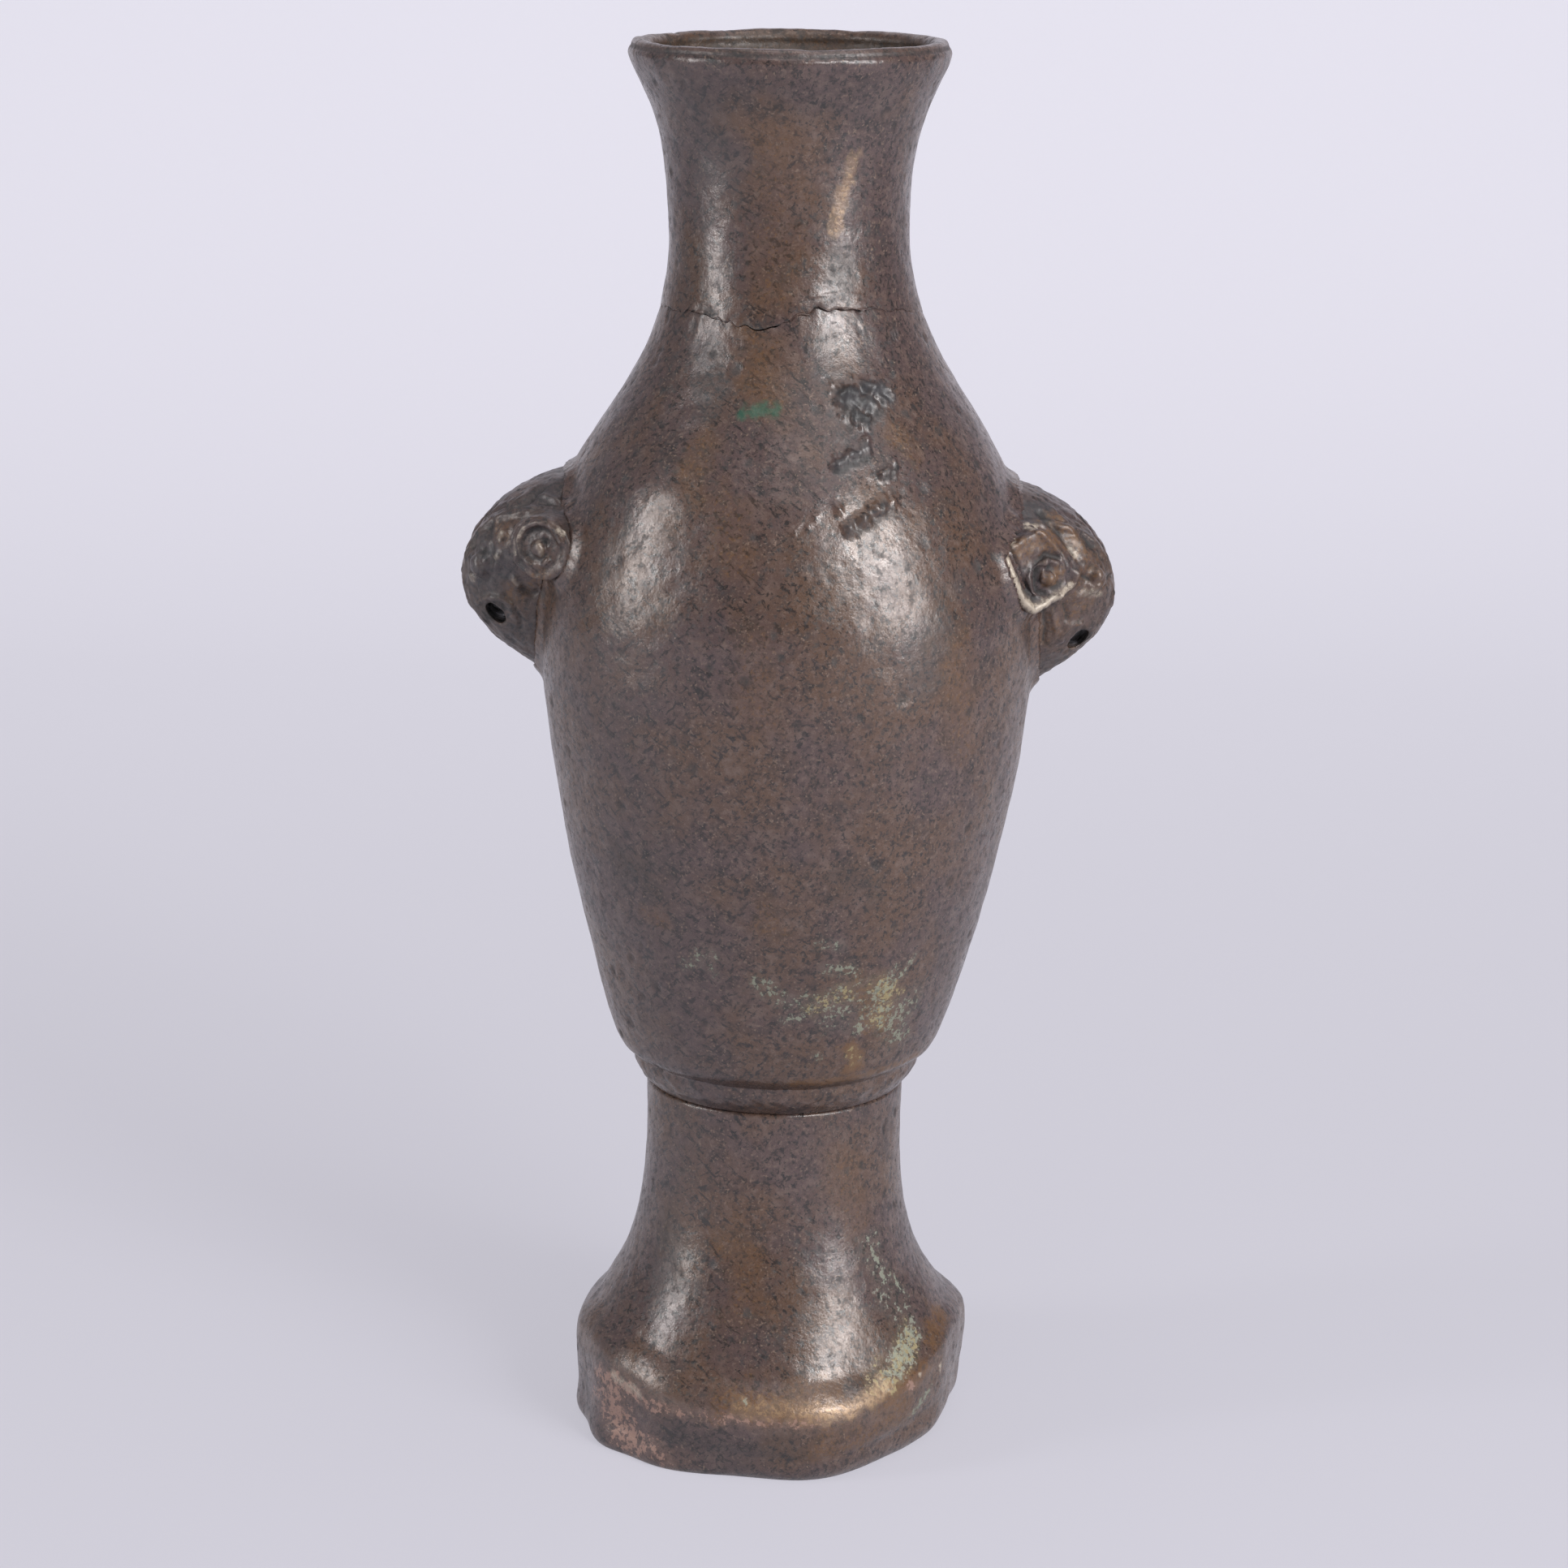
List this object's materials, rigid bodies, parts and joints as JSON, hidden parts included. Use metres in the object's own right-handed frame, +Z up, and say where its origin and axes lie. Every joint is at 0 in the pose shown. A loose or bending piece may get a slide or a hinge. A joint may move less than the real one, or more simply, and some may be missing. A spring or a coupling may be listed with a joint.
{
  "type": "bronze vase",
  "caption": "Small cast-bronze flower vase with a trumpet neck, high shoulder, stem foot and a pierced beast-mask lug on each side.",
  "frame": {"origin": "on the vase's axis, at the level of the table that the foot stands on", "axes": "+Z up the vase; the masks look out along +X and -X; -Y is the side seen in the picture"},
  "size_m": [0.078, 0.0602, 0.17],
  "materials": {
    "neck_bronze": "satin bronze with a purple-brown patina, rubbed to gold in a streak",
    "body_bronze": "satin bronze with a mottled purple-brown and olive patina and specks of verdigris",
    "foot_bronze": "satin bronze, worn to ochre along the ridge and coppery at the left",
    "plate_bronze": "dull dark bronze, as cast",
    "mask_bronze": "satin bronze, dark in the hollows and rubbed on the high parts"
  },
  "bodies": {
    "root": {"neck": "neck_bronze", "body": "body_bronze", "foot": "foot_bronze", "base_plate": "plate_bronze", "handle_left": "mask_bronze", "handle_right": "mask_bronze"}
  },
  "joints": []
}
